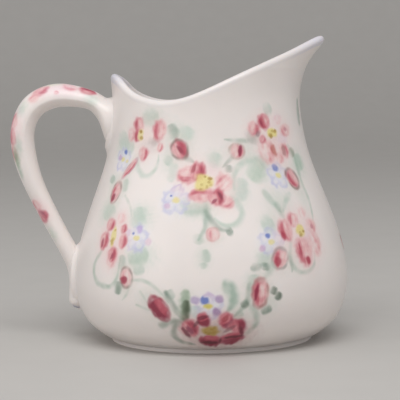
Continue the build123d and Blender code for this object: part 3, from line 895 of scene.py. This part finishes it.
# Painted down the back of the strap, alike on both sides: distance from the neck,
# off its middle, width across, length along, tone, tilt
HANDLE_BUDS = [
    (12.4, 2.3, 3.8, 5.4, 0.85, 8), (17.6, 2.5, 3.6, 4.4, 0.42, -20), (21.2, 5.2, 1.3, 1.5, 0.5, 0),
    (25.2, 2.8, 4.0, 4.6, 0.66, 24), (27.6, 4.4, 3.0, 3.2, 0.3, 0), (35.6, 2.2, 4.0, 4.4, 0.55, 0),
    (39.6, 2.4, 3.8, 4.8, 0.72, 10), (44.0, 2.4, 3.6, 4.4, 0.4, 0), (60.8, 3.0, 4.2, 3.8, 0.45, 0),
    (64.6, 3.2, 5.0, 4.4, 0.85, 20),
]

# distance from the neck, off its middle, width across, length along, colour, strength
HANDLE_TOUCHES = [
    (10.5, 5.4, 4.0, 5.0, PALE_SAGE, 0.4), (20.5, 3.2, 7.0, 12.0, "#F1D3DC", 0.5),
    (32.0, 3.6, 3.6, 4.5, PALE_SAGE, 0.5), (22.0, 1.2, 2.4, 5.0, "#C9D3B0", 0.4),
    (38.0, 3.2, 7.0, 12.0, "#F0D0D2", 0.45), (45.4, 3.1, 2.6, 6.0, "#7F9A7C", 0.7),
    (49.8, 2.9, 2.2, 4.6, MID_SAGE, 0.45), (42.0, 5.0, 2.6, 6.0, PALE_SAGE, 0.45),
    (62.5, 3.4, 6.4, 7.0, "#EFCFD2", 0.5), (71.0, 3.4, 3.0, 5.0, "#B9CCBC", 0.4),
]


def strap_point(turn, station):
    """A point of the strap: turn 0 is its back, pi its inside.  The strap's sides
    carry a soft ridge and its inside is flatter than its back, except at its ends."""
    x, z, lean, thick, depth = (line(station) for line in strap)
    lean = np.radians(lean)
    edge = np.clip((station - 1.5) / 2, 0, 1) * np.clip((13 - station) / 4, 0, 1)
    out, across = np.cos(turn), np.abs(np.sin(turn))
    inner = np.clip(-out, 0, 1)
    flat = (1 - inner**1.25 + 1e-9) ** INSIDE_FLATNESS
    across = np.where(out < 0, across * (1 - edge) + flat * edge, across)
    out = (out - SIDE_RIDGE * edge * (1 - out**2)) * thick / 2
    across = np.sign(np.sin(turn)) * across * depth / 2
    # outward from the finger gap: up over the arch, away from the jug on the leg
    return np.stack([x + out * np.sin(lean), across, z + out * np.cos(lean)], -1)


def strap_rows():
    """Rows of the strap from the neck to the tail, closed there with a rounded nub."""
    turn = np.arange(STRAP_COLUMNS) * 2 * math.pi / STRAP_COLUMNS
    station = np.linspace(0, len(HANDLE_LINE) - 1, STRAP_ROWS)[:, None]
    rows = strap_point(*np.broadcast_arrays(turn, station))
    middle = rows[-1].mean(0)
    nub = []
    for share in (0.86, 0.6, 0.3, 0.02):
        drop = np.array([0.0, 0.0, -0.9 * math.sqrt(1 - share * share)])
        nub.append(middle + (rows[-1] - middle) * share + drop)
    rows = np.concatenate([rows, nub])
    # what would lie deep in the wall stops just under its surface
    wall_x = wall_point(angle_by_handle(rows[..., 1], rows[..., 2]), rows[..., 2])[..., 0]
    buried = wall_x - rows[..., 0] < -HANDLE_SINKS
    rows[..., 0] = np.where(buried, wall_x + HANDLE_SINKS, rows[..., 0])
    return rows


def lay_flat(rows):
    """The strap laid out flat: how far round it each point lies from the middle of
    its back, minus on the near side, in millimetres."""
    step = np.linalg.norm(np.roll(rows, -1, axis=1) - rows, axis=2)
    round_it = np.cumsum(step, axis=1) - step
    whole = step.sum(axis=1, keepdims=True)
    return np.where(round_it > whole / 2, round_it - whole, round_it)


def flat_radius(_height):
    """The radius at which a degree of place is a millimetre."""
    return 180 / math.pi


def make_handle():
    rows = strap_rows()
    along = np.concatenate([[0], np.cumsum(np.linalg.norm(np.diff(rows.mean(1), axis=0), axis=1))])
    piece = add_mesh("strap_handle", rows.reshape(-1, 3), tube_faces(len(rows), STRAP_COLUMNS),
                     tube_uv(len(rows), STRAP_COLUMNS, along))

    colour = np.tile(srgb(GLAZE_WHITE), (len(rows) * STRAP_COLUMNS, 1))
    load = np.zeros(len(colour))
    height = np.repeat(along, STRAP_COLUMNS)
    face = PaintedFace(lay_flat(rows).ravel(), height, flat_radius, colour, load, 900)
    for at, off, wide, long, tone, tilt in HANDLE_BUDS:
        for side in (-1, 1):
            face.petal(side * off, at, wide, long, tone, side * tilt)
    for at, off, wide, long, tint, strength in HANDLE_TOUCHES:
        for side in (-1, 1):
            face.wash(side * off, at, wide, long, tint, strength)
    # a dark bluish touch at the tail's blunt end: painted shade under the nub
    face.wash(0, along[-1] - 0.3, 9.5, 2.4, TAIL_END_SHADE, 0.9)
    give_paint(piece, colour, load)
    piece.data.materials.append(glazed_porcelain("painted_handle_porcelain", True))
    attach(piece, "root")
    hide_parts("handle")


# ---------------------------------------------------------------------------
# The slip worked round the handle's two ends
# ---------------------------------------------------------------------------
def make_slip(name, node, middle_height, half_height, half_width, stand, reach_up, reach_down):
    """A skin of slip on the wall, level under the handle and feathered out over its
    reach.  Its height over the wall falls away as the thumb that smoothed it left it."""
    around = np.arange(SLIP_STEPS) * 2 * math.pi / SLIP_STEPS
    reach = reach_down + (reach_up - reach_down) * (1 + np.cos(around)) / 2
    rows = []
    for t in np.linspace(0, 1, SLIP_RINGS):
        if t < SLIP_LEVEL:
            share, grow, lift = 0.02 + 0.98 * t / SLIP_LEVEL, 0.0, stand
        else:
            feather = (t - SLIP_LEVEL) / (1 - SLIP_LEVEL)
            share, grow = 1.0, reach * feather
            lift = (stand + SLIP_SINKS) * (1 - feather) ** 2 - SLIP_SINKS
        y = (half_width * share + grow) * np.sin(around)
        z = middle_height + (half_height * share + grow) * np.cos(around)
        angle = angle_by_handle(y, z)
        rows.append(wall_point(angle, z) + wall_normal(angle, z)[0] * lift)
    # its rings run the other way round from the wall's, so each face is turned over
    faces = tube_faces(SLIP_RINGS, SLIP_STEPS)[:, ::-1]
    uv = tube_uv(SLIP_RINGS, SLIP_STEPS, np.linspace(0, 1, SLIP_RINGS)).reshape(-1, 4, 2)[:, ::-1]
    piece = add_mesh(name, np.array(rows).reshape(-1, 3), faces, uv.reshape(-1, 2))
    piece.data.materials.append(SLIP_PORCELAIN)
    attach(piece, "root")
    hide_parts(node)


SLIP_PORCELAIN = glazed_porcelain("joint_slip_porcelain", False)
make_wall()
make_foot_ring()
make_handle()
make_slip("upper_joint_collar", "upper_joint_slip", 68.4, 7.0, 5.8, 1.2, 1.6, 4.0)
make_slip("lower_joint_bead", "lower_joint_slip", 20.8, 9.4, 5.2, 1.5, 3.2, 2.0)


# ---------------------------------------------------------------------------
# Table, lights, camera
# ---------------------------------------------------------------------------
def make_table():
    """A plain pale sweep, in metres: a floor that curves up behind the jug."""
    profile = [(-1.6, 0.0), (0.9, 0.0), (1.2, 0.03), (1.42, 0.14), (1.52, 0.34), (1.55, 0.7), (1.55, 1.9)]
    rows = np.array([[(x, y, z) for x in (-2.4, 2.4)] for y, z in profile]) / MM
    faces = [(2 * k, 2 * k + 1, 2 * k + 3, 2 * k + 2) for k in range(len(profile) - 1)]
    table = add_mesh("table_sweep", rows.reshape(-1, 3), faces)
    table.data.materials.append(pale_board())
    rounder = table.modifiers.new("sweep", "SUBSURF")
    rounder.levels = rounder.render_levels = 3


def softbox(name, at, aim, size, power, colour):
    """A soft rectangle of light, in metres and watts, turned toward aim."""
    light = bpy.data.lights.new(name, "AREA")
    light.shape, light.size, light.size_y = "RECTANGLE", size[0], size[1]
    light.energy = power
    light.color = tuple(linear(colour))
    lamp = bpy.data.objects.new(name, light)
    bpy.context.scene.collection.objects.link(lamp)
    lamp.location = at
    lamp.rotation_euler = (Vector(aim) - Vector(at)).to_track_quat("-Z", "Y").to_euler()


make_table()
softbox("overhead_softbox", (0.0, -0.55, 0.95), (0, 0, 0.05), (0.8, 0.5), 5.7, "#FFFFFF")
softbox("left_softbox", (-0.95, -0.45, 0.50), (0, 0, 0.06), (1.1, 0.9), 2.6, "#FFFEFC")
softbox("right_softbox", (0.75, -0.80, 0.70), (0, 0, 0.05), (0.5, 0.5), 0.8, "#FFFFFF")
world = bpy.data.worlds.new("soft_room")
world.use_nodes = True
world.node_tree.nodes["Background"].inputs["Color"].default_value = (*linear("#EDEDEE"), 1.0)
world.node_tree.nodes["Background"].inputs["Strength"].default_value = 0.54
bpy.context.scene.world = world
bpy.context.scene.view_settings.view_transform = "Standard"

# the camera stands in front of the jug, a little over its middle, and looks slightly down
CAMERA_AT = (0.0, -0.467, 0.0784)    # metres
CAMERA_TURNED = math.radians(0.396)  # toward the handle
CAMERA_DOWN = math.radians(4.133)
CAMERA_ROLLED = math.radians(-0.72)
camera_data = bpy.data.cameras.new("camera")
camera = bpy.data.objects.new("camera", camera_data)
bpy.context.scene.collection.objects.link(camera)
camera_data.sensor_width = 36.0
camera_data.lens = 134.46
look = Matrix.Rotation(CAMERA_TURNED, 4, "Z") @ Matrix.Rotation(math.pi / 2 - CAMERA_DOWN, 4, "X")
roll = Matrix.Rotation(CAMERA_ROLLED, 4, "Z")
camera.matrix_world = Matrix.Translation(CAMERA_AT) @ look @ roll
bpy.context.scene.camera = camera
